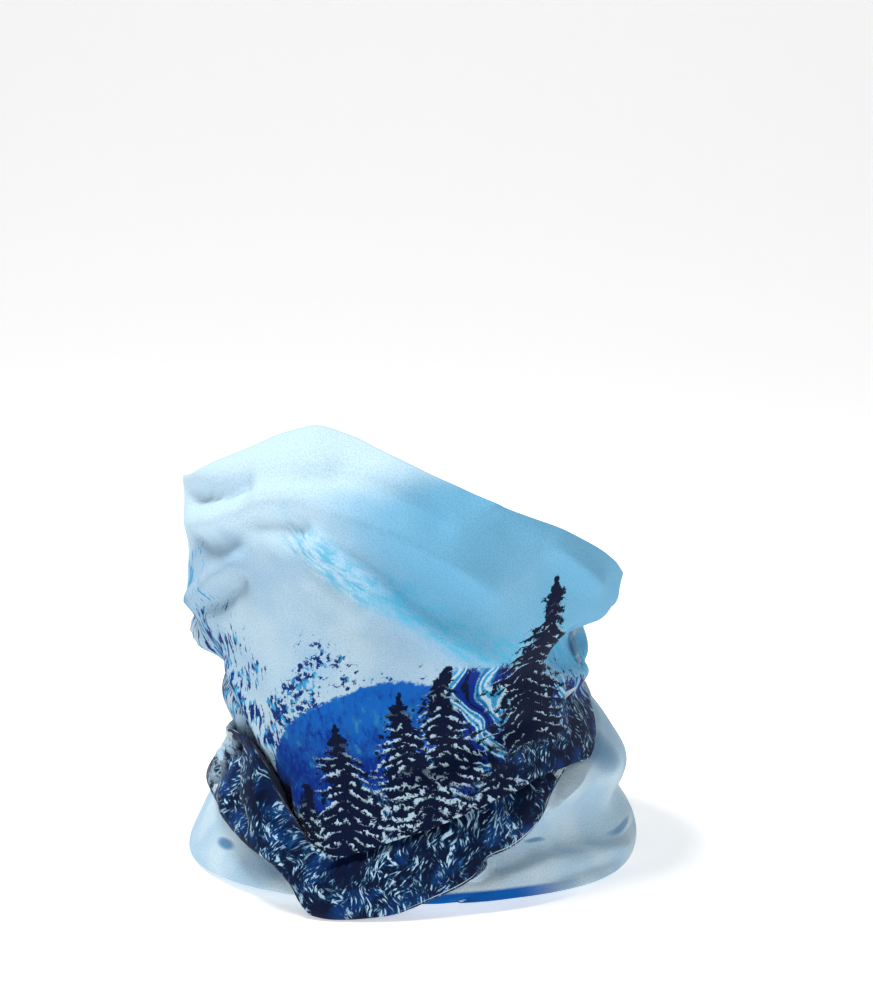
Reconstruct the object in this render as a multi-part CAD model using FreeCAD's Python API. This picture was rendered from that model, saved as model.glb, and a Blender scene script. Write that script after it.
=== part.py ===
import FreeCAD, Part
import math
import os

# A pull-on neck gaiter, held in the shape it is worn in: one knit tube pulled up over the nose in
# front, with the spare length of the tube bunched in two tiers round the neck below it.
# +Z is up, the wearer faces -Y, and the origin is at the middle of the bottom rim, which is flat.
# The tube is one cloth. It is split here into four plain closed rings that meet face to face: the
# cover over the nose, the cover over the chin, the roll that the chin's cover tucks behind, and the
# cuff, which is the end of the tube, turned under at the bottom and up again inside.

# Driving dimensions, mm
HALF_WIDTH = 80.0           # widest half breadth, at the bottom rim
FRONT = 88.0                # nose tip, in front of the origin
BACK = 88.0                 # back of the bottom rim
NOSE_RIM_Z = 157.0          # top rim where it crosses the bridge of the nose
EYE_RIM_Z = 141.0           # top rim under the eyes
CHEEK_RIM_Z = 126.0         # top rim over the cheekbones
JAW_RIM_Z = 101.0           # top rim behind the jaw
NAPE_RIM_Z = 88.0           # top rim at the back of the neck
JAW_FRONT_Z = 68.0          # where the tube is narrowest, in front
JAW_BACK_Z = 74.0           # the same, at the back
CHIN_TUCK_Z = 26.0          # where the cover tucks behind the roll, in front
NAPE_TUCK_Z = 62.0          # the same, at the back
ROLL_FOOT_FRONT_Z = 4.0     # where the roll ends over the cuff, in front
ROLL_FOOT_BACK_Z = 42.0     # the same, at the back
COVER_WALL = 3.0            # one layer of cloth and the depth of its wrinkles
ROLL_WALL = 13.0            # four loose layers, which fill the space out from the chin's cover
CUFF_WALL = 5.0             # two loose layers, folded at the bottom rim

# The flat seam down the middle of the back
SEAM_LAP = 6.0              # width over which the two cloth edges lie on each other
LAP_THICKNESS = 0.7
NEEDLE_ROW = 2.1            # from the seam's middle to each of the two needle rows
THREAD = 0.5                # width of a needle row
STITCH_HEIGHT = 0.4         # how far the threads stand off the cloth

ROUND_POINTS = 24           # points that each cross-section passes through
REACH = 130.0               # well past the part on every side, for the cutting shapes

# Cross-sections of the outer face, bottom to top: height, half breadth, reach in front, reach behind
COVER_SECTIONS = [
    (-5.0, 62.0, 74.0, 62.0),
    (20.0, 62.0, 78.0, 62.0),
    (45.0, 61.0, 83.0, 59.0),
    (68.0, 62.0, 84.0, 57.0),
    (100.0, 75.0, 86.0, 64.0),
    (125.0, 78.0, FRONT, 70.0),
    (NOSE_RIM_Z + 5.0, 75.0, 72.0, 74.0),
]
ROLL_SECTIONS = [
    (-5.0, 73.0, 77.0, 76.0),
    (15.0, 75.0, 82.0, 78.0),
    (35.0, 74.0, 86.0, 78.0),
    (50.0, 71.0, 85.0, 72.0),
    (75.0, 65.0, 80.0, 64.0),
]
CUFF_SECTIONS = [
    (-5.0, HALF_WIDTH, 81.0, BACK),
    (0.0, HALF_WIDTH, 81.0, BACK),
    (20.0, 76.0, 78.0, 82.0),
    (55.0, 70.0, 76.0, 75.0),
]


def outline(z, side, front, back, grow):
    """A smooth oval across the tube, with its own reach at the front, the sides and the back."""
    points = []
    for step in range(ROUND_POINTS):
        turn = 2.0 * math.pi * step / ROUND_POINTS
        reach = front if math.cos(turn) > 0.0 else back
        x = (side + grow) * math.sin(turn)
        y = -(reach + grow) * math.cos(turn)
        points.append(FreeCAD.Vector(x, y, z))
    curve = Part.BSplineCurve()
    curve.interpolate(points, PeriodicFlag=True)
    return Part.Wire([curve.toShape()])


def body_through(sections, grow=0.0):
    """The solid inside the cross-sections, grown outwards by the given distance."""
    wires = [outline(z, side, front, back, grow) for z, side, front, back in sections]
    return Part.makeLoft(wires, True, False)


def slab(low_points, high_points, seen_from_front=False):
    """Everything between two lines in the side view, (y, z), or in the front view, (x, z)."""
    low = [on_view(across, z, seen_from_front) for across, z in low_points]
    high = [on_view(across, z, seen_from_front) for across, z in high_points]
    edges = line_through(low) + [Part.LineSegment(low[-1], high[-1]).toShape()]
    edges += line_through(high) + [Part.LineSegment(high[0], low[0]).toShape()]
    face = Part.Face(Part.Wire(Part.__sortEdges__(edges)))
    through = (0.0, 2.0 * REACH, 0.0) if seen_from_front else (2.0 * REACH, 0.0, 0.0)
    return face.extrude(FreeCAD.Vector(*through))


def on_view(across, z, seen_from_front):
    """A point of the front view or of the side view, on the near face of the cutting slab."""
    return FreeCAD.Vector(across, -REACH, z) if seen_from_front else FreeCAD.Vector(-REACH, across, z)


def line_through(points):
    """One smooth edge through the points, or one straight edge through two."""
    if len(points) == 2:
        return [Part.LineSegment(points[0], points[1]).toShape()]
    curve = Part.BSplineCurve()
    curve.interpolate(points)
    return [curve.toShape()]


def sloped(front_z, back_z):
    """A straight line in the side view with the given heights at the nose tip and the nape side."""
    slope = (back_z - front_z) / (FRONT + BACK)
    return [(-REACH, front_z - slope * (REACH - FRONT)), (REACH, back_z + slope * (REACH - BACK))]


FLOOR = [(-REACH, 0.0), (REACH, 0.0)]
ROLL_FOOT = sloped(ROLL_FOOT_FRONT_Z, ROLL_FOOT_BACK_Z)
TUCK = sloped(CHIN_TUCK_Z, NAPE_TUCK_Z)
JAW = sloped(JAW_FRONT_Z, JAW_BACK_Z)
# the top rim falls away towards the nape in the side view, and from the nose in the front view
TOP_RIM = [
    (-REACH, NOSE_RIM_Z + 20.0),
    (-74.0, NOSE_RIM_Z),
    (-33.0, CHEEK_RIM_Z + 3.0),
    (29.0, JAW_RIM_Z),
    (68.0, NAPE_RIM_Z),
    (REACH, NAPE_RIM_Z - 6.0),
]
NOSE_PEAK_RIGHT = [(-REACH, CHEEK_RIM_Z - 20.0), (-72.0, CHEEK_RIM_Z), (-46.0, EYE_RIM_Z)]
NOSE_PEAK = NOSE_PEAK_RIGHT + [(0.0, NOSE_RIM_Z)] + [(-x, z) for x, z in reversed(NOSE_PEAK_RIGHT)]

# Each tier: its cross-sections, its wall, and the two lines it lies between
TIERS = {
    "nose_cover": (COVER_SECTIONS, COVER_WALL, JAW, TOP_RIM),
    "chin_cover": (COVER_SECTIONS, COVER_WALL, TUCK, JAW),
    "chin_roll": (ROLL_SECTIONS, ROLL_WALL, ROLL_FOOT, TUCK),
    "bottom_cuff": (CUFF_SECTIONS, CUFF_WALL, FLOOR, ROLL_FOOT),
}


def layer(tier, inner, outer):
    """The closed ring of one tier between two distances from its outer face."""
    sections, _, low, high = TIERS[tier]
    shell = body_through(sections, outer).cut(body_through(sections, inner))
    ring = shell.common(slab(low, high))
    return ring.common(slab(FLOOR, NOSE_PEAK, True)) if high is TOP_RIM else ring


def back_strip(inner_of, outer_of, x_low, x_high):
    """A strip down the middle of the back, with one solid on each tier."""
    strips = []
    for tier in TIERS:
        wall = TIERS[tier][1]
        corner = FreeCAD.Vector(x_low, 0.0, -REACH / 2.0)
        band = Part.makeBox(x_high - x_low, REACH, 2.0 * REACH, corner)
        strips += layer(tier, inner_of(wall), outer_of(wall)).common(band).Solids
    return strips


def write(node, solids):
    """One STEP file for the node, which is one solid or a group of separate ones."""
    shape = solids[0] if len(solids) == 1 else Part.makeCompound(solids)
    print(node, len(solids), "solid(s)", round(shape.Volume / 1000.0, 2), "cm3, valid", shape.isValid())
    shape.exportStep(os.path.join("parts", node + ".step"))


def make_tiers():
    for tier in TIERS:
        write(tier, layer(tier, -TIERS[tier][1], 0.0).Solids)


def make_seam():
    half_lap = SEAM_LAP / 2.0
    half_thread = THREAD / 2.0
    lap_face = LAP_THICKNESS + STITCH_HEIGHT
    # the second layer of cloth of the lapped seam, inside the tube
    write("seam_lap", back_strip(
        lambda wall: -wall - LAP_THICKNESS, lambda wall: -wall, -half_lap, half_lap))
    # two rows of needle thread, and the thread that covers the cloth edge between them
    rows = []
    for side in (-1.0, 1.0):
        x = side * NEEDLE_ROW
        rows += back_strip(lambda wall: 0.0, lambda wall: STITCH_HEIGHT, x - half_thread, x + half_thread)
    write("needle_threads", rows)
    cover_half = NEEDLE_ROW - half_thread
    write("cover_thread", back_strip(lambda wall: 0.0, lambda wall: STITCH_HEIGHT, -cover_half, cover_half))
    # the looper thread that holds the needle threads, on the inside
    loop_half = NEEDLE_ROW + half_thread
    write("looper_thread", back_strip(
        lambda wall: -wall - lap_face, lambda wall: -wall - LAP_THICKNESS, -loop_half, loop_half))


os.makedirs("parts", exist_ok=True)
make_tiers()
make_seam()
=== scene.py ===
import math

import bmesh
import bpy
import numpy as np
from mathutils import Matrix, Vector


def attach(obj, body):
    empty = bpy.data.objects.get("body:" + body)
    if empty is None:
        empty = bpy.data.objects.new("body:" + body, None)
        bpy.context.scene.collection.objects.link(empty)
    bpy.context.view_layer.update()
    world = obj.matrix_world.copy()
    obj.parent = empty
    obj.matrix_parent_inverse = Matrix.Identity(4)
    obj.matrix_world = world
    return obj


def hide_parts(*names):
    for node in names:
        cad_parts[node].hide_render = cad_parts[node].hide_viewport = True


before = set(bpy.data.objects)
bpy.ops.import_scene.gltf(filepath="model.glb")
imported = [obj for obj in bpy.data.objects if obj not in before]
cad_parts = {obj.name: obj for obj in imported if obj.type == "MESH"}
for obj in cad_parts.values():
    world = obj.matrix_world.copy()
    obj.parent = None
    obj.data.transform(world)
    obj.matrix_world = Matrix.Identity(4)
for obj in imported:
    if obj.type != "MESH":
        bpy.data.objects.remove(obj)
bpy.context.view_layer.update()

MM = 0.001

# ---------------------------------------------------------------------------------------------
# The cloth, its seam and its print. Lengths are in metres down to CLOTH, and in millimetres below it.
FLAT_GIRTH = 0.48            # right round the tube, before it is put on
CLOTH = 0.7 * MM             # thickness of the knit
COLUMNS = 320                # mesh columns round the tube
DEGREE = 1.3                 # millimetres of cloth in one degree round the face
FOLD_DEPTH = 1.45            # every fold is this many times as deep as its own height says
LAP_HALF_WIDTH = 3.2         # half of the lap of the seam down the back
NEEDLE_ROW = 2.1             # from the seam's middle to each row of needle thread
STITCH = 2.6                 # length of one stitch
NEEDLE_THREAD = 0.2          # radius of the needle thread
LOOPER_THREAD = 0.17         # radius of the cover and looper threads
KNIT_COLUMN = 0.8            # from one column of loops to the next
KNIT_ROW = 0.6               # from one row of loops to the next
PRINT_TOP = 160.0            # height over which the lines of the print are drawn

# Angles go round the wearer: 0 in front, 90 at the wearer's left (+X), 180 at the back.
# The columns stand closer together in front, where the folds are finest.
even = np.linspace(-180.0, 180.0, COLUMNS, endpoint=False)
turns = even - 17.0 * np.sin(np.radians(even))


def hermite(at, value, x):
    """Smooth values at x through the points (at, value), without overshoot at the steps."""
    at, value = np.asarray(at, float), np.asarray(value, float)
    step = np.diff(at)
    rate = np.diff(value) / step
    slope = np.empty_like(value)
    slope[0], slope[-1] = rate[0], rate[-1]
    both = rate[:-1] * rate[1:] > 0
    mean = 2.0 * rate[:-1] * rate[1:] / np.where(both, rate[:-1] + rate[1:], 1.0)
    slope[1:-1] = np.where(both, mean, 0.0)
    i = np.clip(np.searchsorted(at, x) - 1, 0, len(at) - 2)
    t = np.clip((x - at[i]) / step[i], 0.0, 1.0)
    a = (1 + 2 * t) * (1 - t) ** 2
    b = t * t * (3 - 2 * t)
    c = t * (1 - t) ** 2 * step[i]
    d = t * t * (t - 1) * step[i]
    return a * value[i] + b * value[i + 1] + c * slope[i] + d * slope[i + 1]


def around(stations):
    """Values for every column from a few (angle, value) stations round the tube."""
    at = [s[0] for s in stations]
    value = [s[1] for s in stations]
    wrapped = [a - 360.0 for a in at] + at + [a + 360.0 for a in at]
    return hermite(wrapped, value * 3, turns)


def ease(x):
    """0 below 0, 1 above 1, smooth between."""
    x = np.clip(x, 0.0, 1.0)
    return x * x * (3.0 - 2.0 * x)


# ---------------------------------------------------------------------------------------------
# The drape, in millimetres. Each line runs round the tube as (angle, height) stations.
RIM = around([(-150, 94), (-120, 101), (-90, 115), (-73, 125), (-60, 132), (-50, 136), (-36, 139),
              (-25, 144.5), (-14, 150.5), (-4, 156), (5, 157.5), (12, 156), (21, 151.5), (31, 146),
              (40, 141), (50, 134.5), (58, 130), (66, 125.5), (74, 120), (82, 114.5), (91, 108),
              (100, 103), (120, 97), (150, 91), (180, 89)])
# lowest line of the panel that is pulled over the face, where the cloth turns back up
TUCK_LOW = around([(-180, 28), (-140, 20), (-100, 15), (-60, 14), (-40, 15), (-25, 18), (-17, 20),
                   (-10, 19), (-3, 17), (4, 16), (10, 19), (16, 22), (27, 27), (35, 30), (45, 34),
                   (60, 38.5), (68, 41), (79, 41), (90, 40), (96, 43), (102, 49), (110, 54), (128, 56),
                   (145, 48), (165, 35)])
# highest line of the tuck, where the cloth turns down again as the roll
TUCK_HIGH = around([(-180, 66), (-140, 58), (-100, 50), (-75, 48), (-60, 49), (-40, 52), (-25, 57),
                    (-17, 57), (-12, 47), (-10, 39.5), (-5, 34), (0, 29.5), (4, 24), (10, 21),
                    (16, 28), (25, 39), (33, 47), (45, 54), (60, 59), (70, 62), (82, 64), (92, 66),
                    (100, 70), (108, 74), (116, 77), (128, 79), (145, 77), (165, 71)])
# 1 where the roll stands outside the panel as an open pocket, -1 where the panel hangs over the roll
OUTSIDE = around([(-180, 1), (-60, 1), (-15, 1), (-3, 0.8), (8, 0), (16, -0.7), (28, -1), (130, -1),
                  (148, -0.6), (160, 0.5), (170, 1)])
# foot of the roll, over the end of the tube
ROLL_FOOT = around([(-180, 38), (-140, 37), (-100, 33), (-60, 31.5), (-40, 33), (-31, 32), (-21, 27),
                    (-12.5, 22.7), (-4.6, 18), (0.8, 11), (3, 5), (6, 1.5), (11, 0.8), (26, 2.5),
                    (37, 7), (48, 13), (52, 19), (58, 21), (65, 25.5), (72, 33), (82, 40), (92, 46),
                    (105, 52), (120, 56), (140, 53), (152, 47), (165, 41)])
# how far the roll stands out from its oval, how wide apart its layers are, and where it is under the panel
ROLL_PUSH = around([(-180, 0), (-60, -1), (-30, 0), (-12, 0), (-4, -1), (3, -2), (10, -2.5),
                    (20, -3.5), (35, -4), (60, -2), (90, -5), (140, -2)])
ROLL_SPREAD = around([(-180, 0.8), (-40, 0.8), (-20, 1), (10, 1), (30, 0.6), (60, 0.5), (140, 0.4),
                      (165, 0.8)])
ROLL_HIDDEN = around([(-180, 0), (80, 0), (92, 1), (140, 1), (160, 0)])
# how far the foot of the panel stands forward to meet the roll, and how far the tube end is drawn in
CHIN_PUSH = around([(-180, 0), (-10, 0), (0, 2), (10, 5), (30, 5), (60, 4), (80, 3), (96, 0)])
END_PUSH = around([(-180, 0), (20, 0), (42, -4), (62, -5), (82, -5), (98, 0)])
# edge over which the panel turns under, into the open pocket of the roll, and how deep it goes
EDGE = around([(-180, 40), (-40, 55), (-25, 51), (-17, 43), (-10, 40), (-5, 33), (0, 26), (5, 20), (20, 20)])
UNDERCUT = around([(-180, 0), (-40, 0), (-24, 6), (-3, 6), (5, 0)])
BOTTOM = around([(-180, 0), (-60, 0.5), (-30, 2), (0, 4), (30, 4.5), (50, 4), (65, 3), (80, 1.5), (100, 0)])

# Ovals as height, half breadth at the wearer's right and left, reach in front and behind
PANEL_OVALS = [(-5, 50, 70, 75, 62), (20, 50, 70, 76, 62), (32, 48, 70, 76, 61), (45, 49, 68.5, 78, 60),
               (57, 55, 66, 82, 58), (68, 58.5, 66, 85, 57), (76, 56, 65, 86, 58), (84, 65.5, 70, 86, 60),
               (93, 73, 74, 86, 62), (109, 72, 77, 87, 66), (125, 73, 78, 88, 70), (162, 75, 75, 70, 74)]
END_OVALS = [(0, 81, 80, 79, 87), (8, 77.5, 81, 78, 84), (12, 75.5, 79, 76, 82), (18, 72.5, 72.5, 75, 80),
             (24, 69.5, 73, 75, 79), (30, 68, 77, 75, 78), (35, 68, 78, 75, 76), (45, 67, 70, 73, 71),
             (60, 61, 61, 72, 60)]
ROLL_OVALS = [(0, 75, 75, 88, 78), (22, 74, 74, 90, 78), (28, 70, 74, 90, 78), (34, 65, 72, 89, 77),
              (42, 58, 70, 89, 75), (50, 52, 66, 88, 69), (58, 52, 63, 87, 64), (80, 54, 62, 86, 60)]
LINING_OVALS = [(0, 74, 74, 72, 80), (8, 66, 68, 66, 70), (16, 45, 57, 62, 52), (45, 43, 54, 60, 50),
                (90, 46, 53, 64, 48)]

# Folds pulled into the cloth: height of the fold, its width above and below, and the line it follows
# as (angle, height). A valley has a negative height.
PANEL_FOLDS = [
    (2.6, 5, 3.5, [(-64, 131), (-36, 138), (-18, 142), (-6, 146), (2, 148), (12, 147), (27, 142), (36, 137)]),
    (4.6, 7, 4, [(-64, 116), (-30, 125), (-19, 128), (-9, 134), (-1, 136), (7, 136), (16, 133), (28, 127),
                 (37, 120), (46, 110), (58, 98)]),
    (3.6, 6.5, 3, [(0, 126), (7, 122), (13, 118), (19, 112), (28, 104), (38, 94), (50, 85), (62, 79)]),
    (3.0, 5, 3.5, [(-62, 92), (-44, 94.5), (-32, 101), (-23, 109), (-14, 115), (-6, 117)]),
    (2.6, 5, 3.5, [(42, 139), (50, 133), (58, 126), (67, 117), (79, 105), (88, 98)]),
    (1.5, 5, 3.5, [(4, 110), (14, 106), (21, 98)]),
    (2.0, 7, 7, [(4, 162), (4, 150), (5, 141)]),
    (-3.8, 4, 3.5, [(-50, 129), (-31, 132.5), (-22, 134), (-13, 137), (-7, 141)]),
    (-2.0, 4, 3.5, [(-14, 128), (-3, 130), (4, 129), (7, 125)]),
    (-2.4, 4, 2.5, [(12, 126), (19, 120), (24, 114), (30, 106), (35, 101), (42, 94)]),
    (-1.8, 3.5, 3.5, [(8, 147), (17, 144), (32, 135), (41, 126)]),
    (-3.2, 4, 3.5, [(-36, 95), (-24, 100), (-20, 103), (-15, 109), (-11, 111)]),
    (-1.8, 3.5, 3.5, [(48, 134), (52, 131), (58, 126), (64, 119)]),
    (-1.6, 3, 3, [(-40, 121), (-28, 117), (-18, 119), (-10, 124)]),
    (-5.0, 4, 3, [(-110, 94), (-63, 92.5), (-50, 92), (-40, 90)]),
    (3.2, 3, 5, [(-110, 85), (-63, 85.5), (-48, 85), (-36, 81)]),
    (-1.8, 4, 4, [(-70, 76), (-40, 72), (-26, 62), (-18, 50)]),
    (1.6, 3.5, 5, [(-30, 84), (-22, 74), (-15, 62), (-10, 50)]),
    (1.4, 4, 4, [(20, 36), (34, 42), (50, 48), (66, 54)]),
    (-1.6, 4, 3, [(26, 44), (40, 50), (56, 57), (72, 60)]),
]
# the deep hollows at the wearer's left, which every layer of the cloth follows
HOLLOWS = [
    (-6.5, 6, 6, [(72, 84), (84, 79), (97, 77), (135, 77)]),
    (-3.5, 5, 5, [(80, 62), (92, 60), (135, 60)]),
]
ROLL_FOLDS = [
    (-1.2, 3, 3, [(-80, 44), (-50, 43), (-34, 42), (-24, 35), (-16, 29)]),
    (-2.2, 2.5, 2.5, [(-50, 62), (-46, 51), (-40, 41), (-32, 32)]),
    (1.8, 3, 3, [(-60, 60), (-55, 49), (-48, 38)]),
    (1.6, 3, 3, [(-41, 60), (-36, 49), (-28, 37), (-20, 28)]),
    (-1.8, 2.5, 2.5, [(-31, 58), (-26, 46), (-18, 34), (-9, 25)]),
]
END_FOLDS = [
    (-2.0, 2.5, 1.5, [(40, 10.5), (44, 12), (65, 15), (83, 13.4), (105, 9), (118, 8)]),
    (1.2, 1.8, 3, [(44, 9), (65, 12), (83, 10.5), (105, 6)]),
    (-1.0, 1.5, 1.5, [(59, 7), (75, 6.5), (93, 5)]),
    (-2.2, 1.5, 2, [(-50, 27), (-36, 27), (-29, 24), (-20.5, 18), (-10, 12), (-2, 8.5)]),
    (-1.2, 3, 3, [(-75, 24), (-50, 20), (-35, 15)]),
]


def oval_at(ovals, z):
    heights = [o[0] for o in ovals]
    return [hermite(heights, [o[i] for o in ovals], z) for i in (1, 2, 3, 4)]


def on_oval(ovals, z, push=0.0):
    """Points round the ovals at height z, pushed outwards along the normal."""
    z = z + 0 * turns
    right, left, front, back = oval_at(ovals, z)
    sine, cosine = np.sin(np.radians(turns)), np.cos(np.radians(turns))
    side = np.where(sine > 0, left, right)
    reach = np.where(cosine > 0, front, back)
    across, along = sine / side, cosine / reach
    length = np.hypot(across, along)
    x = side * sine + push * across / length
    y = -reach * cosine - push * along / length
    return np.stack([x, y, z], axis=1)


def panel_point(z, push=0.0):
    under = UNDERCUT * ease((EDGE - z) / 5.0)
    return on_oval(PANEL_OVALS, z, push - under + CHIN_PUSH * ease((50.0 - z) / 30.0))


def roll_point(z, push):
    """The roll: open on its own oval, pressed flat where the panel lies over it."""
    under = np.clip(-OUTSIDE, 0, 1) * ease((z - TUCK_LOW + 7.0) / 6.0)
    hidden = np.maximum(ROLL_HIDDEN, under)[:, None]
    own = on_oval(ROLL_OVALS, z, ROLL_PUSH + push * ROLL_SPREAD)
    pressed = panel_point(z, -4.0 + push * ROLL_SPREAD)
    return own * (1 - hidden) + pressed * hidden


def drape():
    """The lines of the cloth from the top rim to its other end: points, print height, mesh rows, region."""
    lines = []

    def line(points, print_height, rows, region="hidden"):
        lines.append((points, print_height + 0 * turns, rows, region))

    # face panel
    for share in (0.0, 0.1, 0.2, 0.3, 0.4, 0.5, 0.6, 0.7, 0.8, 0.9, 0.96):
        z = RIM + (TUCK_LOW - RIM) * share
        line(panel_point(z), z, 7, "panel")
    # tuck: down to its lowest line, up and over
    gap = np.where(OUTSIDE > 0, 2.4, 1.4) * OUTSIDE
    line(panel_point(TUCK_LOW, 0.4 * gap), TUCK_LOW, 3, "tuck")
    middle = 0.5 * (TUCK_LOW + TUCK_HIGH)
    line(panel_point(middle, gap), 0.5 * TUCK_LOW - 20.0, 5, "tuck")
    line(panel_point(TUCK_HIGH, 1.5 * gap), TUCK_HIGH - 98.0, 4, "over")
    # roll
    drop = TUCK_HIGH - ROLL_FOOT
    for share, push, rows in (
            (0.15, -1.0, 4), (0.35, -0.3, 5), (0.55, 0.0, 5), (0.8, 0.0, 5), (0.95, -0.5, 3)):
        z = TUCK_HIGH - drop * share
        line(roll_point(z, push), z - 100.0, rows, "roll")
    # its foot, the cloth hidden behind it, and down again as the end of the tube
    covered = np.maximum(TUCK_LOW - 5.0, ROLL_FOOT + 6.0)
    back_up = np.minimum(ROLL_FOOT + 30.0, covered + (TUCK_HIGH - 9.0 - covered) * ease(OUTSIDE))
    back_up = np.maximum(back_up, ROLL_FOOT + 5.0)
    half_up = 0.5 * (ROLL_FOOT + back_up)
    line(roll_point(ROLL_FOOT - 0.6, -1.8), ROLL_FOOT - 100.5, 3, "foot")
    line(roll_point(ROLL_FOOT + 3.0, -3.0), -104.0, 2, "up")
    line(roll_point(half_up, -3.3), -111.0, 2, "up")
    line(roll_point(back_up - 2.0, -3.6), -118.0, 2, "up")
    line(roll_point(back_up, -4.4), -121.0, 2, "down")
    line(roll_point(back_up - 2.5, -5.2), -124.0, 2, "down")
    line(roll_point(half_up, -5.5), -132.0, 2, "down")
    line(roll_point(ROLL_FOOT + 3.0, -5.5), -140.0, 3, "down")
    # end of the tube, outside
    for share in (0.93, 0.75, 0.58, 0.4, 0.2, 0.08):
        z = BOTTOM + np.maximum(ROLL_FOOT - BOTTOM, 6.0) * share
        line(on_oval(END_OVALS, z, END_PUSH * ease(z / 12.0) - 1.0), z - BOTTOM - 320.0, 5, "end")
    # turned in at the bottom and up again inside
    line(on_oval(END_OVALS, BOTTOM, -1.8), -320.6, 1, "end")
    line(on_oval(END_OVALS, BOTTOM + 0.4, -3.8), -321.6, 2, "turn")
    line(on_oval(END_OVALS, BOTTOM + 2.0, -5.4), -324.0, 2, "turn")
    line(on_oval(LINING_OVALS, 8.0), -328.0, 4, "lining")
    for k in range(8):
        z = 16.0 + 10.0 * k
        line(on_oval(LINING_OVALS, z, 1.8 * (-1) ** k), -320.0 - z, 4, "lining")
    return lines


def through(lines):
    """A smooth surface through the lines: its points, their print heights and the region of each row."""
    points = np.array([line[0] for line in lines])
    heights = np.array([line[1] for line in lines])
    count = len(lines)
    grid, printed, regions = [], [], []
    for k in range(count - 1):
        before, after = max(k - 1, 0), min(k + 2, count - 1)
        p = [points[before], points[k], points[k + 1], points[after]]
        gaps = [np.maximum(np.linalg.norm(b - a, axis=1), 0.3) ** 0.5 for a, b in zip(p, p[1:])]
        knots = [np.zeros(COLUMNS)]
        for g in gaps:
            knots.append(knots[-1] + g)
        rows = lines[k][2]
        for i in range(rows):
            t = knots[1] + (knots[2] - knots[1]) * i / rows
            grid.append(barry_goldman(p, knots, t))
            printed.append(heights[k] + (heights[k + 1] - heights[k]) * i / rows)
            regions.append(lines[k][3])
    grid.append(points[-1])
    printed.append(heights[-1])
    regions.append(lines[-1][3])
    return np.array(grid), np.array(printed), np.array(regions)


def barry_goldman(p, knots, t):
    """A point of the centripetal Catmull-Rom curve between p[1] and p[2]."""
    t0, t1, t2, t3 = knots

    def mix(a, b, ta, tb):
        w = ((t - ta) / (tb - ta))[:, None]
        return a * (1 - w) + b * w

    a1, a2, a3 = mix(p[0], p[1], t0, t1), mix(p[1], p[2], t1, t2), mix(p[2], p[3], t2, t3)
    b1, b2 = mix(a1, a2, t0, t2), mix(a2, a3, t1, t3)
    return mix(b1, b2, t1, t2)


def fold_height(folds, angle, z):
    """How far the folds lift the cloth at each angle and height."""
    x = angle * DEGREE
    lift = np.zeros_like(z)
    for size, above, below, stations in folds:
        px = np.array([s[0] * DEGREE for s in stations])
        pz = np.array([s[1] for s in stations], float)
        nearest = np.full_like(z, 1e9)
        upper = np.zeros_like(z, bool)
        place = np.zeros_like(z)
        for k in range(len(stations) - 1):
            dx, dz = px[k + 1] - px[k], pz[k + 1] - pz[k]
            t = np.clip(((x - px[k]) * dx + (z - pz[k]) * dz) / (dx * dx + dz * dz), 0, 1)
            away = np.hypot(x - px[k] - t * dx, z - pz[k] - t * dz)
            closer = away < nearest
            nearest = np.where(closer, away, nearest)
            upper = np.where(closer, (z - pz[k]) * dx - (x - px[k]) * dz > 0, upper)
            place = np.where(closer, (k + t) / (len(stations) - 1), place)
        width = np.where(upper, above, below)
        crest = np.exp(-((nearest / width) ** 2 + 0.03) ** 0.75)
        lift += FOLD_DEPTH * size * crest * ease(place * 5) * ease((1 - place) * 5)
    return lift


def rumple(angle, z):
    """Loose folds running round the neck behind, where the spare length of the tube gathers."""
    behind = ease((np.abs(angle) - 95.0) / 40.0)
    run = z + 5.0 * np.sin(np.radians(3 * angle + 40)) + 3.0 * np.sin(np.radians(7 * angle))
    return behind * (2.5 * np.sin(run * 2 * math.pi / 15.0) + 0.8 * np.sin(run * 2 * math.pi / 8.3 + 1.0))


def pull_folds(grid, regions):
    """Lift the seen regions of the cloth along their normals by their folds."""
    down = np.gradient(grid, axis=0)
    across = np.roll(grid, -1, axis=1) - np.roll(grid, 1, axis=1)
    normal = np.cross(down, across)
    normal /= np.maximum(np.linalg.norm(normal, axis=2), 1e-6)[:, :, None]
    angle = np.tile(turns, (len(grid), 1))
    lift = fold_height(HOLLOWS, angle, grid[:, :, 2])
    for region, folds in (("panel", PANEL_FOLDS), ("roll", ROLL_FOLDS), ("end", END_FOLDS)):
        rows = regions == region
        z = grid[rows][:, :, 2]
        lift[rows] += fold_height(folds, angle[rows], z)
        if region == "panel":
            fade = ease((RIM - z) / 6.0) * ease((z - TUCK_LOW) / 6.0)
            lift[rows] += rumple(angle[rows], z) * fade
    normal *= np.sign(np.sum(normal[:, :, :2] * grid[:, :, :2], axis=2))[:, :, None]
    return grid + normal * lift[:, :, None]


def keep_apart(grid, inner, outer, room, columns):
    """Move the inner rows towards the neck wherever they come closer than room to the outer rows."""
    for c in np.flatnonzero(columns):
        far, near = grid[outer, c], grid[inner, c]
        order = np.argsort(far[:, 2])
        reach = np.hypot(far[:, 0], far[:, 1])[order]
        level = far[order, 2]
        limit = np.interp(near[:, 2], level, reach) - room
        limit = np.where((near[:, 2] < level[0] - 3.0) | (near[:, 2] > level[-1] + 3.0), 1e3, limit)
        share = np.minimum(1.0, limit / np.hypot(near[:, 0], near[:, 1]))
        grid[inner, c, :2] = near[:, :2] * share[:, None]


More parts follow.
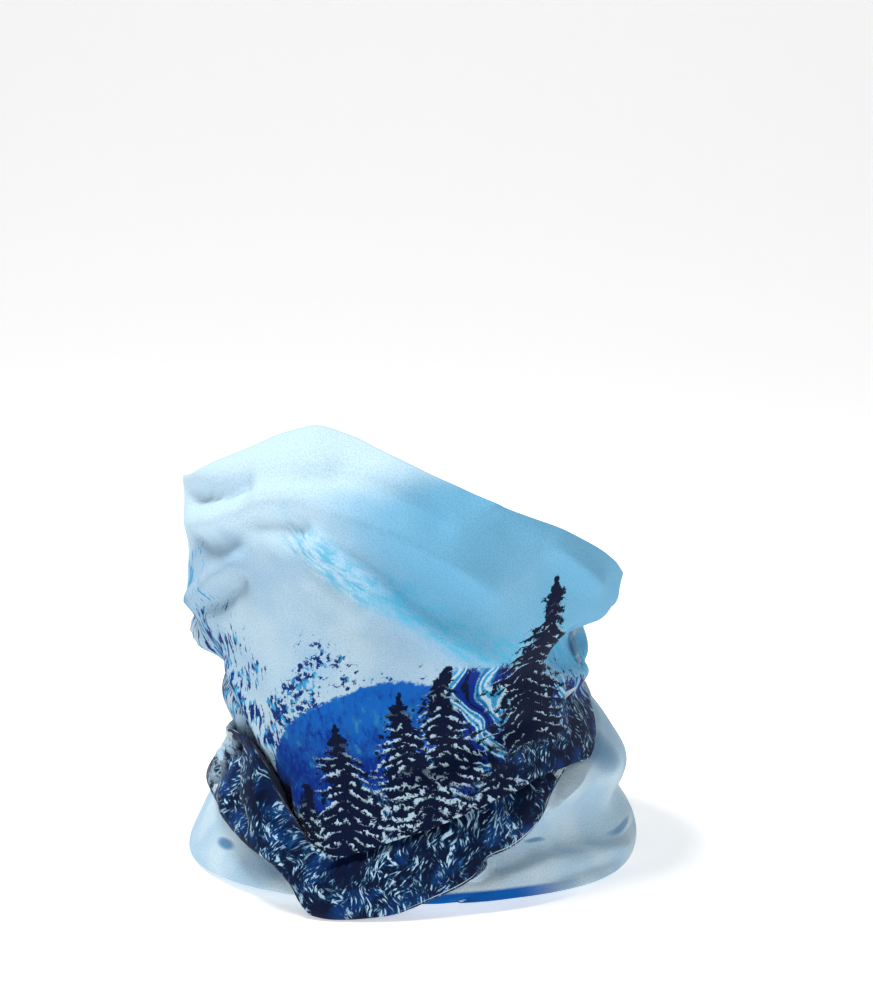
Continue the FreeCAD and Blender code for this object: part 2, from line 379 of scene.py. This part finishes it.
def layer_up(grid, regions):
    """Move layers towards the neck, in their order, where they come too close to the one over them."""
    all_round = np.ones(COLUMNS, bool)
    for inner, outer, room, columns in (
            ("tuck", "panel", 2.2, OUTSIDE < -0.3), ("roll", "tuck", 1.2, OUTSIDE < -0.3),
            ("up", "roll", 2.4, all_round), ("down", "roll", 3.6, all_round), ("down", "up", 1.2, all_round),
            ("end", "roll", 2.5, all_round), ("tuck", "down", 2.4, OUTSIDE > 0.3),
            ("panel", "tuck", 1.2, OUTSIDE > 0.3), ("turn", "end", 1.8, all_round),
            ("lining", "end", 2.2, all_round), ("lining", "panel", 2.0, all_round)):
        keep_apart(grid, regions == inner, regions == outer, room, columns)


def finish_grid(grid, regions):
    grid = pull_folds(grid, regions)
    layer_up(grid, regions)
    return grid


def cloth_mesh(name, grid, printed):
    rows = len(grid)
    mesh = bpy.data.meshes.new(name)
    index = np.arange(rows * COLUMNS).reshape(rows, COLUMNS)
    right = np.roll(index, -1, axis=1)
    faces = np.stack([index[:-1], index[1:], right[1:], right[:-1]], axis=-1).reshape(-1, 4)
    mesh.from_pydata((grid.reshape(-1, 3) * MM).tolist(), [], faces.tolist())
    mesh.polygons.foreach_set("use_smooth", np.ones(len(faces), bool))
    # print coordinates in metres: round the tube, and up it
    layer = mesh.uv_layers.new(name="print")
    u_grid = np.tile(turns / 360.0 * FLAT_GIRTH, (rows, 1))
    u_next = np.tile(np.append(turns[1:], turns[0] + 360.0) / 360.0 * FLAT_GIRTH, (rows, 1))
    v = printed * MM
    v_next = np.roll(v, -1, axis=1)
    uv = np.stack([
        np.stack([u_grid[:-1], v[:-1]], -1), np.stack([u_grid[1:], v[1:]], -1),
        np.stack([u_next[1:], v_next[1:]], -1), np.stack([u_next[:-1], v_next[:-1]], -1)], axis=2)
    layer.data.foreach_set("uv", uv.reshape(-1))
    obj = bpy.data.objects.new(name, mesh)
    bpy.context.scene.collection.objects.link(obj)
    return obj


def srgb(red, green, blue):
    """A colour given as 0 to 255 on a screen, in linear light."""
    parts = [c / 255.0 for c in (red, green, blue)]
    return tuple(c / 12.92 if c < 0.04045 else ((c + 0.055) / 1.055) ** 2.4 for c in parts) + (1.0,)


class Nodes:
    """The nodes of one material, written as sums, mixes and steps."""

    def __init__(self, name):
        self.material = bpy.data.materials.new(name)
        self.material.use_nodes = True
        self.tree = self.material.node_tree
        self.shader = self.tree.nodes["Principled BSDF"]

    def feed(self, socket, value):
        if isinstance(value, bpy.types.NodeSocket):
            self.tree.links.new(value, socket)
        else:
            socket.default_value = value

    def calc(self, operation, *values):
        node = self.tree.nodes.new("ShaderNodeMath")
        node.operation = operation
        for socket, value in zip(node.inputs, values):
            self.feed(socket, value)
        return node.outputs[0]

    def add(self, a, b):
        return self.calc("ADD", a, b)

    def less(self, a, b):
        return self.calc("SUBTRACT", a, b)

    def times(self, a, b):
        return self.calc("MULTIPLY", a, b)

    def step(self, value, low, high):
        """0 below low and 1 above high, or the other way round, smooth between."""
        node = self.tree.nodes.new("ShaderNodeMapRange")
        node.interpolation_type = "SMOOTHSTEP"
        for socket, given in zip(node.inputs, (value, low, high, 0.0, 1.0)):
            self.feed(socket, given)
        return node.outputs[0]

    def mix(self, share, first, second):
        node = self.tree.nodes.new("ShaderNodeMix")
        node.data_type = "RGBA"
        self.feed(node.inputs[0], share)
        self.feed(node.inputs[6], first)
        self.feed(node.inputs[7], second)
        return node.outputs[2]

    def mix_value(self, share, first, second):
        return self.add(self.times(first, self.less(1.0, share)), self.times(second, share))

    def place(self, x, y, z=0.0):
        node = self.tree.nodes.new("ShaderNodeCombineXYZ")
        for socket, value in zip(node.inputs, (x, y, z)):
            self.feed(socket, value)
        return node.outputs[0]

    def noise(self, place, size, detail=2.0, rough=0.5):
        """Noise from about 0.2 to 0.8, with patches of the given size."""
        node = self.tree.nodes.new("ShaderNodeTexNoise")
        self.feed(node.inputs["Vector"], place)
        node.inputs["Scale"].default_value = 1.0 / size
        node.inputs["Detail"].default_value = detail
        node.inputs["Roughness"].default_value = rough
        return node.outputs["Fac"]

    def curve(self, value, stations, low, high):
        """A smooth line through (place, height) stations."""
        first, last = stations[0][0], stations[-1][0]
        node = self.tree.nodes.new("ShaderNodeFloatCurve")
        line = node.mapping.curves[0]
        for k, (at, height) in enumerate(stations):
            spot = ((at - first) / (last - first), (height - low) / (high - low))
            if k == 0:
                line.points[0].location = spot
            elif k == len(stations) - 1:
                line.points[len(line.points) - 1].location = spot
            else:
                line.points.new(*spot)
        node.mapping.update()
        self.feed(node.inputs["Value"], self.calc("DIVIDE", self.less(value, first), last - first))
        return self.add(self.times(node.outputs[0], high - low), low)


def plain_material(name, colour, rough=0.85):
    made = Nodes(name)
    made.shader.inputs["Base Color"].default_value = (*colour, 1)
    made.shader.inputs["Roughness"].default_value = rough
    return made.material


# Colours of the print. SKY_PALE also paints a highlight along the top rim, FOREST without snow paints the
# shade in the pocket behind the roll, and TEAL paints a shade on the tube end below the panel
SKY_PALE = srgb(200, 228, 244)
SKY = srgb(116, 182, 217)
SNOW = srgb(182, 208, 222)
SNOW_BLUE = srgb(158, 192, 216)
CYAN = srgb(58, 156, 204)
DRIFT = srgb(84, 184, 220)
ROCK = srgb(8, 44, 112)
HILL = srgb(16, 96, 184)
HILL_DARK = srgb(4, 42, 130)
FOREST = srgb(1, 10, 34)
FOREST_BLUE = srgb(5, 50, 106)
FROST = srgb(184, 214, 230)
TEAL = srgb(26, 112, 164)
STRONG_BLUE = srgb(10, 95, 180)

# Firs in front of the forest: angle, height of the tip and of the foot, half width, share of snow
FIRS = [(67.0, 110, 54, 17, 0.12), (42.0, 84, 44, 14, 0.28), (31.0, 76, 40, 12, 0.3), (34.5, 55, 22, 22, 0.6),
        (13.0, 65.5, 20, 16, 0.26), (2.0, 43, 8, 12, 0.35), (53.0, 52, 28, 14, 0.3)]


def sky_and_snow(n, angle, z, spot):
    """Sky over a snow field, with cyan drifts along the edge between them, and a painted highlight along the
    top rim.
    """
    across = n.times(angle, DEGREE)
    soft = n.noise(spot, 30.0, 3.0)
    fine = n.noise(spot, 2.2, 3.0, 0.7)
    blue = n.add(n.step(angle, -12.0, 42.0), n.times(n.less(soft, 0.5), 0.9))
    # painted highlight: the sky is drawn paler along the top rim, where the light falls from above
    painted_rim_highlight = n.times(n.step(z, 134.0, 150.0), -0.6)
    colour = n.mix(n.step(n.add(blue, painted_rim_highlight), 0.0, 1.0), SKY_PALE, SKY)
    edge = n.curve(angle, [(-180, 60), (-120, 70), (-60, 100), (-25, 122), (-12, 124), (5, 118),
                           (16, 109), (28, 99), (41, 88), (52, 82), (70, 76), (95, 68), (130, 62),
                           (180, 60)], 0.0, PRINT_TOP)
    under = n.less(n.add(edge, n.times(n.less(soft, 0.5), 12.0)), z)
    field = n.mix(n.step(soft, 0.35, 0.65), SNOW, SNOW_BLUE)
    colour = n.mix(n.step(under, -5.0, 5.0), colour, field)
    # the drifts run down to the wearer's left, along the slope
    along = n.less(n.times(across, 0.22), n.times(z, 0.16))
    off = n.add(n.times(across, 0.59), n.times(z, 0.81))
    smear = n.noise(n.place(along, off), 1.7, 4.0, 0.65)
    near_edge = n.times(n.step(under, -17.0, -8.0), n.step(under, 4.0, -3.0))
    near_edge = n.times(near_edge, n.times(n.step(angle, -4.0, 8.0), 0.85))
    return n.mix(n.times(n.step(smear, 0.4, 0.62), near_edge), colour, DRIFT), fine


def rocks(n, angle, z, spot, colour, fine):
    """Dark blue rocks showing through the snow, closer together lower down."""
    streak = n.noise(n.place(n.times(angle, 1.5), n.times(z, 0.3)), 1.7, 3.0, 0.6)
    clump = n.noise(spot, 10.0, 2.0)
    top = n.curve(angle, [(-180, 60), (-60, 118), (-38, 122), (-28, 112), (-20, 104), (-10, 92),
                          (0, 88), (6, 97), (13, 95), (20, 86), (30, 86), (42, 84), (60, 80), (90, 76),
                          (180, 60)], 0.0, PRINT_TOP)
    depth = n.less(top, z)
    left = n.step(angle, 4.0, -14.0)
    dense = n.add(n.times(n.step(depth, 0.0, 26.0), 0.13), n.times(n.less(clump, 0.5), 0.6))
    dense = n.less(dense, n.times(left, 0.035))
    grain = n.mix_value(left, fine, streak)
    spots = n.times(n.step(n.less(grain, n.less(0.60, dense)), 0.0, 0.03), n.step(depth, -1.0, 3.0))
    tone = n.mix(n.step(n.add(n.noise(spot, 4.0, 2.0), n.step(z, 90.0, 120.0)), 0.48, 0.62), ROCK, CYAN)
    return n.mix(spots, colour, tone)


def hill(n, angle, z, spot, colour, fine):
    """A rounded blue hill behind the trees, hatched by its woods."""
    crest = n.curve(angle, [(-180, 0), (-22, 10), (-12, 45), (-5, 58), (3, 67), (16, 75), (28, 79.5),
                            (40, 77), (52, 66), (64, 50), (180, 0)], 0.0, PRINT_TOP)
    inside = n.step(n.less(n.add(crest, n.times(n.less(fine, 0.5), 5.0)), z), -0.5, 0.8)
    wood = n.noise(n.place(n.times(angle, DEGREE), n.times(z, 0.45)), 2.2, 4.0, 0.75)
    patch = n.noise(spot, 9.0, 2.0)
    shade = n.add(n.step(z, 84.0, 36.0), n.times(n.less(wood, 0.5), 3.0))
    tone = n.mix(n.step(shade, 0.0, 1.0), HILL, HILL_DARK)
    bright = n.times(n.step(patch, 0.47, 0.66), n.step(wood, 0.44, 0.62))
    return n.mix(inside, colour, n.mix(n.times(bright, 0.6), tone, CYAN))


def swirls(n, angle, z, spot, colour):
    """Wind-blown snow banks between the hill and the forest, in narrow blue and white bands."""
    bend = n.noise(spot, 13.0, 1.0)
    fine = n.noise(spot, 1.3, 3.0, 0.7)
    run = n.add(n.times(bend, 42.0), n.add(n.times(angle, 2.6), n.times(z, 1.1)))
    band = n.add(n.calc("SINE", run), n.times(n.less(fine, 0.5), 3.4))
    broad = n.calc("SINE", n.add(n.times(run, 0.23), 1.0))
    tone = n.mix(n.step(n.add(broad, n.times(band, 0.5)), -0.5, 0.6), HILL_DARK, CYAN)
    tone = n.mix(n.step(n.add(n.times(broad, 0.7), band), 0.5, 1.1), tone, FROST)
    tone = n.mix(n.step(n.less(band, broad), 1.2, 1.6), tone, FOREST)
    top = n.curve(angle, [(-180, 0), (28, 60), (34, 76), (42, 83), (54, 84), (66, 78), (80, 72),
                          (100, 66), (180, 0)], 0.0, PRINT_TOP)
    height = n.less(n.add(top, n.times(n.less(fine, 0.5), 12.0)), z)
    ragged = n.add(angle, n.times(n.less(fine, 0.5), 14.0))
    inside = n.times(n.step(height, 0.0, 3.0), n.step(ragged, 40.0, 45.0))
    return n.mix(inside, colour, tone)


def frost_strokes(n, angle, z, spot):
    """Dark forest with snow lying along its branches, in strokes that lean one way and the other; the strokes
    are mostly left out in the pocket behind the roll, as painted shade.
    """
    across = n.times(angle, DEGREE)
    bend = n.times(n.noise(spot, 15.0, 1.0), 15.0)
    glow = n.noise(spot, 11.0, 3.0, 0.6)
    colour = n.mix(n.step(glow, 0.47, 0.7), FOREST, FOREST_BLUE)
    # painted shade: hardly any snow strokes in the pocket behind the roll, so it stays dark
    pocket_shade = n.times(n.step(angle, -2.0, -12.0), n.times(n.step(z, 10.0, 2.0), n.step(z, -50.0, -44.0)))
    strokes_outside_shade = n.less(1.0, n.times(pocket_shade, 0.9))
    for lean, size, shift in ((0.1, 0.95, 11.0), (0.85, 0.85, 31.0), (-0.85, 0.85, 67.0)):
        along = n.less(z, n.times(across, lean))
        aside = n.add(n.add(across, n.times(z, lean)), bend)
        grain = n.noise(n.place(aside, n.times(along, 0.24), shift), size, 2.0, 0.5)
        patch = n.noise(n.place(across, z, shift), 8.0, 2.0)
        haze = n.times(n.step(grain, 0.5, 0.66), n.times(n.step(patch, 0.46, 0.62), 0.65))
        stroke = n.times(n.step(grain, 0.6, 0.65), n.times(n.step(patch, 0.48, 0.6), 0.95))
        colour = n.mix(n.times(stroke, strokes_outside_shade), n.mix(n.times(haze, strokes_outside_shade), colour, TEAL), FROST)
    drift = n.noise(n.place(n.times(across, 0.3), z), 2.6, 3.0, 0.6)
    bank = n.times(n.step(angle, -26.0, -40.0), n.times(n.step(z, -68.0, -57.0), n.step(z, -44.0, -49.0)))
    return n.mix(n.times(bank, n.step(drift, 0.42, 0.56)), colour, FROST)


def fir(n, angle, z, wobble, loose, colour, tree):
    """One fir: whorls of drooping branches, open between their ends, with snow along their upper sides."""
    middle, tip, foot, half, snowy = tree
    drop = n.less(tip, z)
    down = n.calc("DIVIDE", drop, float(tip - foot))
    off = n.add(n.times(n.less(angle, middle), DEGREE), n.times(n.less(loose, 0.5), 5.0))
    side = n.calc("ABSOLUTE", off)
    droop = n.calc("DIVIDE", n.less(drop, n.times(side, 0.4)), 3.3)
    whorl = n.add(droop, n.add(n.times(wobble, 1.8), n.times(loose, 2.0)))
    number = n.calc("FLOOR", whorl)
    part = n.less(whorl, number)
    which = n.place(n.add(n.times(number, 3.7), middle), n.times(n.calc("SIGN", off), 5.0))
    chance = n.noise(which, 1.0, 0.0)
    branch = n.times(half, n.add(n.times(chance, 2.2), 0.05))
    reach = n.times(n.calc("POWER", n.calc("MAXIMUM", down, 0.0), 0.9), branch)
    share = n.add(n.calc("DIVIDE", side, n.add(reach, 0.7)), n.times(n.less(wobble, 0.5), 1.5))
    inside = n.step(n.add(share, n.times(part, 0.6)), 1.12, 1.0)
    inside = n.times(inside, n.times(n.step(down, 0.0, 0.015), n.step(down, 1.08, 1.0)))
    snow = n.times(n.step(part, snowy + 0.08, snowy - 0.04), n.step(wobble, 0.46, 0.53))
    snow = n.times(n.times(snow, n.step(share, 0.1, 0.3)), n.step(down, 0.12, 0.4))
    return n.mix(inside, colour, n.mix(n.times(snow, 0.9), FOREST, FROST))


def tube_end(n, angle, z, spot):
    """The other end of the print: pale, with soft teal patches and a blue edge; the tall patch at 92 degrees
    is painted shade below the panel's edge.
    """
    soft = n.noise(spot, 22.0, 2.0)
    pale = n.mix(n.step(soft, 0.35, 0.65), srgb(204, 226, 236), srgb(176, 208, 228))
    edge = n.times(n.step(z, -316.6, -317.6), n.times(n.step(angle, 10.0, 20.0), n.step(angle, 78.0, 52.0)))
    edge = n.times(edge, n.step(z, -327.0, -324.0))
    pale = n.mix(edge, pale, STRONG_BLUE)
    # soft teal patches; the tall one at 92 degrees is painted shade where the panel's edge hangs over the
    # tube end
    for middle, height, wide, tall, deep in ((-30, -309, 7.0, 2.2, 0.8), (66, -305.0, 6.0, 0.9, 0.7),
                                             (100, -307.0, 12.0, 1.2, 0.6), (92, -274.0, 12.0, 14.0, 0.55)):
        across = n.calc("DIVIDE", n.times(n.less(angle, middle), DEGREE), wide)
        up = n.calc("DIVIDE", n.less(z, height), tall)
        away = n.add(n.times(across, across), n.times(up, up))
        pale = n.mix(n.times(n.step(away, 1.0, 0.1), deep), pale, TEAL)
    return pale


def print_place(n):
    """Where a point lies on the print: its angle, its height, and both as a place in millimetres."""
    source = n.tree.nodes.new("ShaderNodeUVMap")
    source.uv_map = "print"
    split = n.tree.nodes.new("ShaderNodeSeparateXYZ")
    n.feed(split.inputs[0], source.outputs[0])
    angle = n.times(split.outputs[0], 360.0 / FLAT_GIRTH)
    z = n.times(split.outputs[1], 1000.0)
    spot = n.place(n.times(angle, DEGREE), z)
    return angle, z, spot


def print_material():
    """The printed side of the knit: a winter landscape running round the tube."""
    n = Nodes("printed_knit")
    angle, z, spot = print_place(n)

    colour, fine = sky_and_snow(n, angle, z, spot)
    colour = rocks(n, angle, z, spot, colour, fine)
    colour = hill(n, angle, z, spot, colour, fine)
    colour = swirls(n, angle, z, spot, colour)
    wobble = n.noise(spot, 2.6, 3.0, 0.65)
    woods = frost_strokes(n, angle, z, spot)
    top = n.curve(angle, [(-180, 50), (-60, 50), (-30, 46), (-16, 44), (-8, 40), (0, 33), (12, 36),
                          (22, 40), (34, 40), (46, 40), (54, 46), (62, 60), (75, 63), (95, 60),
                          (120, 52), (180, 50)], 0.0, PRINT_TOP)
    among = n.step(n.less(n.add(top, n.times(n.less(wobble, 0.5), 16.0)), z), -0.5, 1.0)
    colour = n.mix(among, colour, woods)
    loose = n.noise(spot, 9.0, 1.0)
    for tree in FIRS:
        colour = fir(n, angle, z, wobble, loose, colour, tree)
    colour = n.mix(n.step(z, -250.0, -252.0), colour, tube_end(n, angle, z, spot))
    grain = n.noise(spot, 0.55, 2.0, 0.7)
    colour = n.mix(n.times(n.step(grain, 0.62, 0.32), 0.2), colour, ROCK)
    n.feed(n.shader.inputs["Base Color"], colour)
    n.shader.inputs["Roughness"].default_value = 0.85
    n.shader.inputs["Sheen Weight"].default_value = 0.06
    n.shader.inputs["Sheen Roughness"].default_value = 0.5
    n.shader.inputs["Specular IOR Level"].default_value = 0.08
    bump = n.tree.nodes.new("ShaderNodeBump")
    bump.inputs["Strength"].default_value = 0.35
    bump.inputs["Distance"].default_value = 0.0003
    # the loops of the knit
    columns = n.calc("SINE", n.times(n.times(angle, DEGREE), 2 * math.pi / KNIT_COLUMN))
    loops = n.calc("SINE", n.add(n.times(z, 2 * math.pi / KNIT_ROW), n.times(columns, 1.2)))
    knit = n.add(n.times(columns, 0.25), n.times(loops, 0.2))
    n.feed(bump.inputs["Height"], n.add(knit, n.noise(spot, 1.1, 2.0, 0.6)))
    n.feed(n.shader.inputs["Normal"], bump.outputs[0])
    return n.material


def reverse_material():
    """The inside of the knit, where the print only shows through as a tint."""
    n = Nodes("knit_reverse")
    angle, z, spot = print_place(n)
    forest = n.times(n.step(z, 62.0, 40.0), n.step(z, -252.0, -246.0))
    patch = n.noise(spot, 7.0, 3.0, 0.6)
    tint = n.mix(n.times(forest, n.step(patch, 0.3, 0.6)), srgb(214, 224, 230), srgb(150, 168, 184))
    n.feed(n.shader.inputs["Base Color"], tint)
    n.shader.inputs["Roughness"].default_value = 0.9
    n.shader.inputs["Sheen Weight"].default_value = 0.06
    return n.material


def make_cloth(grid, printed, knit):
    cloth = cloth_mesh("knit_tube", grid, printed)
    solid = cloth.modifiers.new("thickness", "SOLIDIFY")
    solid.thickness = CLOTH
    solid.offset = -1.0
    solid.material_offset = 1
    solid.material_offset_rim = 1
    cloth.data.materials.append(knit)
    cloth.data.materials.append(reverse_material())
    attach(cloth, "root")
    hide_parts("nose_cover", "chin_cover", "chin_roll", "bottom_cuff")


class SeamTier:
    """One seen length of the seam down the back, measured in millimetres from its upper end."""

    def __init__(self, grid, printed, regions, tier):
        rows = np.flatnonzero(regions == tier)
        self.near = np.roll(grid[rows], 4, axis=1)[:, 8::-1]
        self.printed = printed[rows, 0]
        steps = np.linalg.norm(np.diff(self.near[:, 4], axis=0), axis=1)
        self.along = np.concatenate([[0.0], np.cumsum(steps)])
        self.length = self.along[-1]

    def row(self, distance):
        t = np.interp(distance, self.along, np.arange(len(self.along)))
        k = min(int(t), len(self.along) - 2)
        return k, t - k

    def point(self, distance, side, lift):
        """The point at this distance down the seam, to one side of its middle, and lifted off the cloth."""
        k, part = self.row(distance)
        row = self.near[k] * (1 - part) + self.near[k + 1] * part
        y, z = (np.interp(side, row[:, 0], row[:, axis]) for axis in (1, 2))
        way = self.near[k + 1, 4] - self.near[k, 4]
        out = np.array([0.0, -way[2], way[1]]) * (1.0 if way[2] < 0 else -1.0)
        return np.array([side, y, z]) + out / np.linalg.norm(out) * lift

    def print_height(self, distance):
        return np.interp(distance, self.along, self.printed)


def skin(loops, points, faces):
    """Join a row of closed loops into a solid with both ends closed."""
    first, count = len(points), len(loops[0])
    for loop in loops:
        points.extend(loop)
    for k in range(len(loops) - 1):
        for i in range(count):
            a, b = first + k * count + i, first + k * count + (i + 1) % count
            faces.append((a, b, b + count, a + count))
    last = first + (len(loops) - 1) * count
    faces.append(tuple(range(first, first + count)))
    faces.append(tuple(range(last, last + count)))


def thread_loops(path, radius):
    """Round loops along a path of points."""
    path = np.array(path)
    way = np.gradient(path, axis=0)
    way /= np.linalg.norm(way, axis=1)[:, None]
    across = np.cross(way, [0.3, 1.0, 0.2])
    across /= np.linalg.norm(across, axis=1)[:, None]
    other = np.cross(way, across)
    corners = np.radians(range(0, 360, 60))
    loops = []
    for p, u, v in zip(path, across, other):
        loops.append([p + radius * (math.cos(a) * u + math.sin(a) * v) for a in corners])
    return loops


def seam_object(name, node, points, faces, material):
    mesh = bpy.data.meshes.new(name)
    mesh.from_pydata((np.array(points) * MM).tolist(), [], faces)
    whole = bmesh.new()
    whole.from_mesh(mesh)
    bmesh.ops.recalc_face_normals(whole, faces=whole.faces)
    whole.to_mesh(mesh)
    whole.free()
    mesh.polygons.foreach_set("use_smooth", np.ones(len(faces), bool))
    mesh.materials.append(material)
    obj = bpy.data.objects.new(name, mesh)
    bpy.context.scene.collection.objects.link(obj)
    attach(obj, "root")
    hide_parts(node)
    return mesh


def make_seam_lap(tiers, knit):
    """The strip where the two edges of the cloth lap, a little thicker than the cloth beside it."""
    section = [(-LAP_HALF_WIDTH, -0.4), (-3.0, 0.35), (-1.5, 0.45), (0.0, 0.45), (1.5, 0.45), (3.0, 0.35),
               (LAP_HALF_WIDTH, -0.4)]
    points, faces, places = [], [], []
    for tier in tiers:
        loops = []
        for distance in np.arange(1.0, tier.length - 1.0, 1.0):
            loops.append([tier.point(distance, side, lift) for side, lift in section])
            places += [((-180.0 - side / DEGREE) / 360.0 * FLAT_GIRTH, tier.print_height(distance) * MM)
                       for side, lift in section]
        skin(loops, points, faces)
    mesh = seam_object("back_seam_lap", "seam_lap", points, faces, knit)
    layer = mesh.uv_layers.new(name="print")
    for corner in mesh.loops:
        layer.data[corner.index].uv = places[corner.vertex_index]


def make_needle_rows(tiers, thread):
    """Two rows of straight stitches along the edges of the lap."""
    points, faces = [], []
    for tier in tiers:
        for side in (-NEEDLE_ROW, NEEDLE_ROW):
            for start in np.arange(1.6, tier.length - 4.0, STITCH):
                path = [tier.point(start + run, side, lift)
                        for run, lift in ((0.0, 0.1), (0.3, 0.6), (1.1, 0.64), (1.9, 0.6), (2.2, 0.1))]
                skin(thread_loops(path, NEEDLE_THREAD), points, faces)
    seam_object("back_needle_rows", "needle_threads", points, faces, thread)


def make_zigzag(name, node, tiers, lift, thread):
    """One thread that crosses from row to row of the needle stitches."""
    points, faces = [], []
    for tier in tiers:
        path = []
        for k, distance in enumerate(np.arange(1.6, tier.length - 1.6, STITCH / 2)):
            path.append(tier.point(distance, 2.3 if k % 2 else -2.3, lift))
        skin(thread_loops(path, LOOPER_THREAD), points, faces)
    seam_object(name, node, points, faces, thread)


def make_seam(grid, printed, regions, knit):
    tiers = [SeamTier(grid, printed, regions, name) for name in ("panel", "roll", "end")]
    thread = plain_material("seam_thread", (0.62, 0.74, 0.82), 0.6)
    make_seam_lap(tiers, knit)
    make_needle_rows(tiers, thread)
    make_zigzag("back_cover_thread", "cover_thread", tiers, 0.95, thread)
    make_zigzag("back_looper_thread", "looper_thread", tiers, -0.9, thread)


def make_floor():
    """A pale floor that sweeps up into a wall far behind."""
    reach, depth, radius = 4.0, 2.2, 1.2
    profile = [(-12.0, 0.0), (depth - radius, 0.0)]
    for k in range(1, 13):
        a = math.radians(90.0 * k / 12)
        profile.append((depth - radius + radius * math.sin(a), radius - radius * math.cos(a)))
    profile.append((depth, 4.0))
    corners = [(x, y, z) for y, z in profile for x in (-reach, reach)]
    turn = math.radians(27.0)
    corners = [(x * math.cos(turn) - y * math.sin(turn), x * math.sin(turn) + y * math.cos(turn), z)
               for x, y, z in corners]
    faces = [(2 * k, 2 * k + 1, 2 * k + 3, 2 * k + 2) for k in range(len(profile) - 1)]
    mesh = bpy.data.meshes.new("floor")
    mesh.from_pydata(corners, [], faces)
    mesh.polygons.foreach_set("use_smooth", np.ones(len(faces), bool))
    floor = bpy.data.objects.new("floor", mesh)
    bpy.context.scene.collection.objects.link(floor)
    made = Nodes("floor")
    made.shader.inputs["Base Color"].default_value = (0.9, 0.9, 0.9, 1)
    made.shader.inputs["Roughness"].default_value = 0.9
    made.shader.inputs["Emission Color"].default_value = (1, 1, 1, 1)
    made.shader.inputs["Emission Strength"].default_value = 0.42
    floor.data.materials.append(made.material)


def area_light(name, place, aim, size, power):
    data = bpy.data.lights.new(name, "AREA")
    data.shape = "DISK"
    data.size = size
    data.energy = power
    lamp = bpy.data.objects.new(name, data)
    lamp.location = place
    direction = np.array(aim) - np.array(place)
    lamp.rotation_mode = "QUATERNION"
    lamp.rotation_quaternion = Vector(direction).to_track_quat("-Z", "Y")
    bpy.context.scene.collection.objects.link(lamp)


def make_stage():
    make_floor()
    world = bpy.data.worlds.new("studio")
    world.use_nodes = True
    world.node_tree.nodes["Background"].inputs["Color"].default_value = (1, 1, 1, 1)
    world.node_tree.nodes["Background"].inputs["Strength"].default_value = 0.22
    bpy.context.scene.world = world
    middle = (0, 0, 0.08)
    area_light("key", (-0.22, -0.42, 1.25), middle, 0.35, 13.5)
    area_light("fill", (0.9, -1.0, 0.7), middle, 0.8, 5.0)
    bpy.context.scene.view_settings.view_transform = "Standard"


def make_camera():
    data = bpy.data.cameras.new("camera")
    data.lens = 78.33
    camera = bpy.data.objects.new("camera", data)
    camera.location = (0.3405, -0.6648, 0.25)
    aim = Vector((0.0072, 0.0063, 0.1229))
    camera.rotation_mode = "QUATERNION"
    camera.rotation_quaternion = (aim - camera.location).to_track_quat("-Z", "Y")
    bpy.context.scene.collection.objects.link(camera)
    bpy.context.scene.camera = camera


surface, heights, rows_in = through(drape())
surface = finish_grid(surface, rows_in)
knit = print_material()
make_cloth(surface, heights, knit)
make_seam(surface, heights, rows_in, knit)
make_stage()
make_camera()
